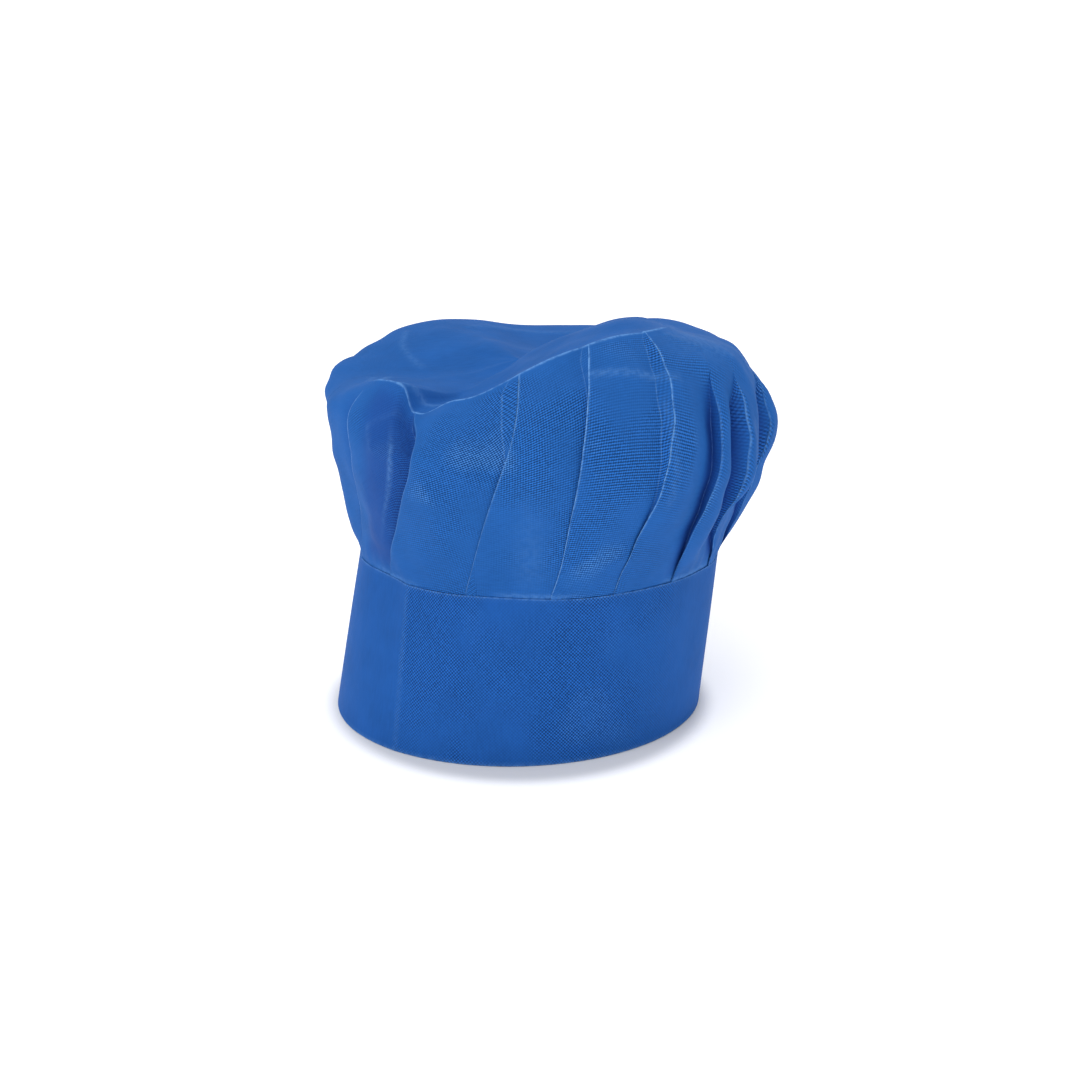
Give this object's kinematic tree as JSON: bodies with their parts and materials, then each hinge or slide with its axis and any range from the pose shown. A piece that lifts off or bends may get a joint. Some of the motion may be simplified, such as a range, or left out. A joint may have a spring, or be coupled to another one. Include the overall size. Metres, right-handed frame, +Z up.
{
  "type": "chef hat",
  "caption": "Soft chef's toque: a pleated balloon crown that slumps to one side, sewn into a folded headband with a hook-and-loop closure at the back.",
  "frame": {"origin": "on the ground, in the middle of the hat's footprint box", "axes": "+Z up through the crown, -Y to the front of the hat, +X to the side the crown leans to, closure at +Y"},
  "size_m": [0.2235, 0.2304, 0.2009],
  "materials": {
    "band_cloth": "blue spun-bonded non-woven cloth with a fine embossed diamond pattern, pressed double",
    "crown_cloth": "blue spun-bonded non-woven cloth with a fine embossed diamond pattern and whitened creases",
    "fastening_tape": "matte hook or loop fastening tape",
    "thread": "blue polyester sewing thread"
  },
  "bodies": {
    "band": {"headband": "band_cloth", "loop_tape": "fastening_tape", "loop_tape_stitching": "thread", "band_end_stitching": "thread", "crown_seam_stitching": "thread"},
    "crown": {"crown": "crown_cloth"},
    "closure_slider": {"headband_outer_end": "band_cloth"},
    "closure_tab": {"closure_tab": "band_cloth", "hook_tape": "fastening_tape", "hook_tape_stitching": "thread", "tab_end_stitching": "thread"}
  },
  "joints": [
    {"name": "crown_collapse", "type": "slide", "parent": "band", "child": "crown", "axis": [0, 0, -1], "range_m": [0, 0.07], "deforming": ["crown"]},
    {"name": "closure_adjust", "type": "hinge", "parent": "band", "child": "closure_slider", "pos_m": [-0.0157, 0.0001, 0.041], "axis": [0, 0, 1], "range_deg": [0, 14]},
    {"name": "closure_peel", "type": "hinge", "parent": "closure_slider", "child": "closure_tab", "pos_m": [0.01667, 0.08952, 0.041], "axis": [0.0124, 0.0344, -0.9993], "range_deg": [0, 120]}
  ]
}
